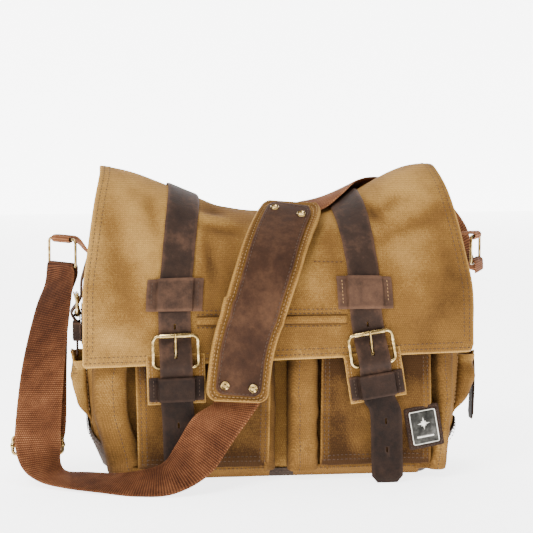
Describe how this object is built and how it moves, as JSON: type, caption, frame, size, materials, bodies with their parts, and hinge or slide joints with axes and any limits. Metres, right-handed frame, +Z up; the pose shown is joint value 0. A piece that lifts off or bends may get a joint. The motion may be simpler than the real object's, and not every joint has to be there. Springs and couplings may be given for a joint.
{
  "type": "messenger bag",
  "caption": "Canvas messenger bag with a full front flap, leather closure straps with roller buckles, outer pockets and a padded shoulder strap.",
  "frame": {"origin": "centre of the flat underside of the base, which rests on a table or floor", "axes": "+Z up, the flap's front towards -Y, +X to the right seen from the front"},
  "size_m": [0.4444, 0.2017, 0.2723],
  "materials": {
    "canvas": "brushed waxed cotton canvas",
    "strap_leather": "matte oiled leather, dark brown",
    "base_leather": "matte leather, very dark brown",
    "pad_leather": "suede-like oiled leather",
    "webbing": "coarse woven cotton webbing",
    "brass": "antique brass, worn bright on edges",
    "lining": "plain woven cotton lining",
    "badge_metal": "aged pewter-coloured plate"
  },
  "bodies": {
    "bag": {"bag_body": "canvas", "lining": "lining", "leather_base": "base_leather", "front_pocket_left": "canvas", "front_pocket_right": "canvas", "side_pocket_left": "canvas", "side_pocket_right": "canvas", "badge_backing": "strap_leather", "badge_plate": "badge_metal", "snap_socket_left": "brass", "ring_tab_left": "webbing", "side_strap_left": "strap_leather", "side_tab_left": "strap_leather", "side_keeper_left": "strap_leather", "side_buckle_frame_left": "brass", "side_buckle_chape_left": "strap_leather", "snap_socket_right": "brass", "ring_tab_right": "webbing", "side_strap_right": "strap_leather", "side_tab_right": "strap_leather", "side_keeper_right": "strap_leather", "side_buckle_frame_right": "brass", "side_buckle_chape_right": "strap_leather"},
    "flap": {"flap": "canvas", "flap_pocket_welt": "canvas", "closure_strap_left": "strap_leather", "upper_keeper_left": "strap_leather", "lower_keeper_left": "strap_leather", "buckle_frame_left": "brass", "buckle_chape_left": "strap_leather", "buckle_tab_left": "canvas", "snap_stud_left": "brass", "closure_strap_right": "strap_leather", "upper_keeper_right": "strap_leather", "lower_keeper_right": "strap_leather", "buckle_frame_right": "brass", "buckle_chape_right": "strap_leather", "buckle_tab_right": "canvas", "snap_stud_right": "brass"},
    "shoulder_strap": {"shoulder_webbing": "webbing", "slider": "brass", "strap_ring_left": "brass", "strap_ring_right": "brass", "pad_base": "canvas", "pad_leather": "pad_leather", "pad_rivet_1": "brass", "pad_rivet_2": "brass", "pad_rivet_3": "brass", "pad_rivet_4": "brass"},
    "roller_left": {"buckle_roller_left": "brass"},
    "prong_left": {"buckle_prong_left": "brass"},
    "roller_right": {"buckle_roller_right": "brass"},
    "prong_right": {"buckle_prong_right": "brass"},
    "side_prong_left": {"side_buckle_prong_left": "brass"},
    "side_prong_right": {"side_buckle_prong_right": "brass"}
  },
  "joints": [
    {"name": "flap_hinge", "type": "hinge", "parent": "bag", "child": "flap", "pos_m": [0, 0.0575, 0.2035], "axis": [-1, 0, 0], "range_deg": [0, 80]},
    {"name": "strap_swing", "type": "hinge", "parent": "flap", "child": "shoulder_strap", "pos_m": [0, 0.0575, 0.2035], "axis": [-1, 0, 0], "range_deg": [0, 20]},
    {"name": "buckle_roller_left_spin", "type": "hinge", "parent": "flap", "child": "roller_left", "pos_m": [-0.09086, -0.0867, 0.1306], "axis": [0.9997, 0, 0.0262], "continuous": true},
    {"name": "buckle_prong_left_lift", "type": "hinge", "parent": "flap", "child": "prong_left", "pos_m": [-0.09014, -0.0867, 0.1034], "axis": [0.9997, 0, 0.0262], "range_deg": [0, 5]},
    {"name": "buckle_roller_right_spin", "type": "hinge", "parent": "flap", "child": "roller_right", "pos_m": [0.07587, -0.0867, 0.13043], "axis": [0.9877, 0, 0.1564], "continuous": true},
    {"name": "buckle_prong_right_lift", "type": "hinge", "parent": "flap", "child": "prong_right", "pos_m": [0.08013, -0.0867, 0.10357], "axis": [0.9877, 0, 0.1564], "range_deg": [0, 5]},
    {"name": "side_prong_left_lift", "type": "hinge", "parent": "bag", "child": "side_prong_left", "pos_m": [-0.1717, 0, 0.1414], "axis": [0, -1, 0], "range_deg": [0, 5]},
    {"name": "side_prong_right_lift", "type": "hinge", "parent": "bag", "child": "side_prong_right", "pos_m": [0.1717, 0, 0.1414], "axis": [0, 1, 0], "range_deg": [0, 5]}
  ]
}
